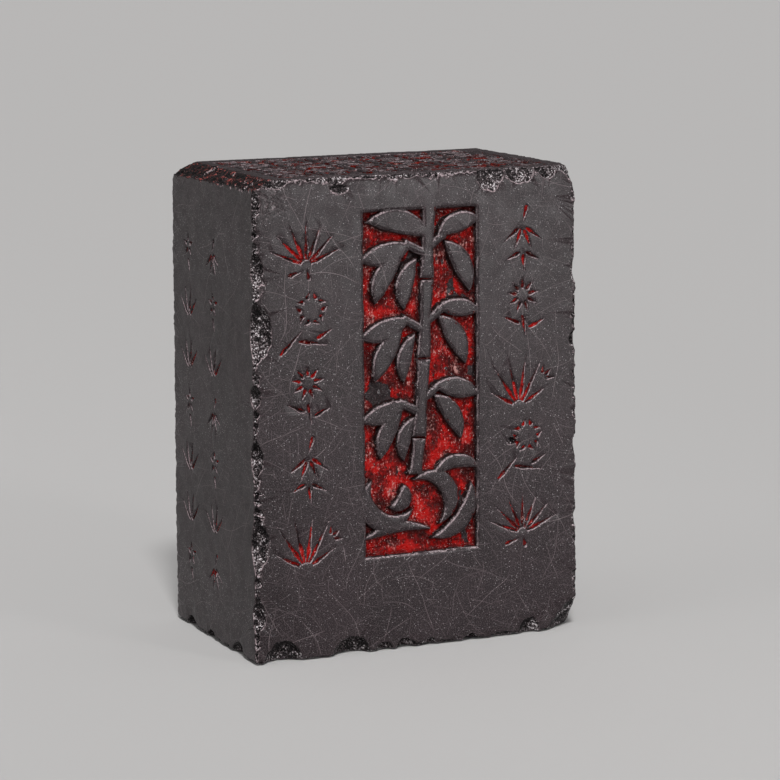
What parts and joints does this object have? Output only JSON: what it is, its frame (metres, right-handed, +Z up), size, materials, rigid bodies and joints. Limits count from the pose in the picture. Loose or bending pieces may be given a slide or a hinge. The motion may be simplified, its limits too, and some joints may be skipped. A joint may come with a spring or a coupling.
{
  "type": "seal stamp",
  "caption": "Upright block seal of dark stone with a raised fret printing face, a sunk relief panel and knife-cut sprigs filled with red pigment, worn and chipped at its edges",
  "frame": {"origin": "centre of the box around the part, on the base that it stands on", "axes": "+Z up from the base to the printing face, +Y from the carved front to the back, -X towards the carved side"},
  "size_m": [0.05, 0.0316, 0.067],
  "materials": {
    "dark_stone": "honed satin, nearly black, scratched",
    "cinnabar_pigment": "rough, worn mineral red",
    "seal_paste": "dried seal paste, dull to slightly greasy"
  },
  "bodies": {
    "root": {"stone_block": "dark_stone", "panel_pigment": "cinnabar_pigment", "left_column_pigment": "cinnabar_pigment", "right_column_pigment": "cinnabar_pigment", "side_front_column_pigment": "cinnabar_pigment", "side_back_column_pigment": "cinnabar_pigment", "seal_face_paste": "seal_paste"}
  },
  "joints": []
}
